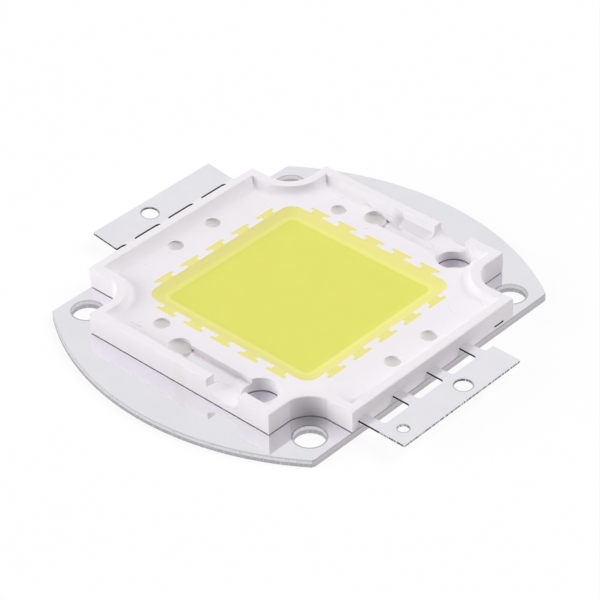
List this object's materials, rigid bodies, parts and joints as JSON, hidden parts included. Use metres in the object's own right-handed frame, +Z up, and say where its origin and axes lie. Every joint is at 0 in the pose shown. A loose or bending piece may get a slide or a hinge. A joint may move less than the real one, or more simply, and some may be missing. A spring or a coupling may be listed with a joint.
{
  "type": "high power led chip",
  "caption": "Square light-emitting chip: gel-filled window in a white moulded frame on a bowed metal base plate with screw holes, and two flat solder leads.",
  "frame": {"origin": "centre of the base plate's underside", "axes": "+X from the negative lead to the positive lead, +Y along the plate's bowed ends, +Z up from the plate through the window"},
  "size_m": [0.0528, 0.0522, 0.0038],
  "materials": {
    "nickel_plate": "bright nickel plating on copper",
    "lead_metal": "bright plated sheet",
    "white_moulding": "fine satin moulding",
    "phosphor_gel": "smooth soft gel",
    "die": "polished",
    "gold_wire": "bright drawn wire"
  },
  "bodies": {
    "root": {"base_plate": "nickel_plate", "housing_frame": "white_moulding", "positive_lead": "lead_metal", "negative_lead": "lead_metal", "phosphor_gel": "phosphor_gel", "die_row_01": "die", "die_row_02": "die", "die_row_03": "die", "die_row_04": "die", "die_row_05": "die", "die_row_06": "die", "die_row_07": "die", "die_row_08": "die", "die_row_09": "die", "die_row_10": "die", "bond_wires_01": "gold_wire", "bond_wires_02": "gold_wire", "bond_wires_03": "gold_wire", "bond_wires_04": "gold_wire", "bond_wires_05": "gold_wire", "bond_wires_06": "gold_wire", "bond_wires_07": "gold_wire", "bond_wires_08": "gold_wire", "bond_wires_09": "gold_wire", "bond_wires_10": "gold_wire"}
  },
  "joints": []
}
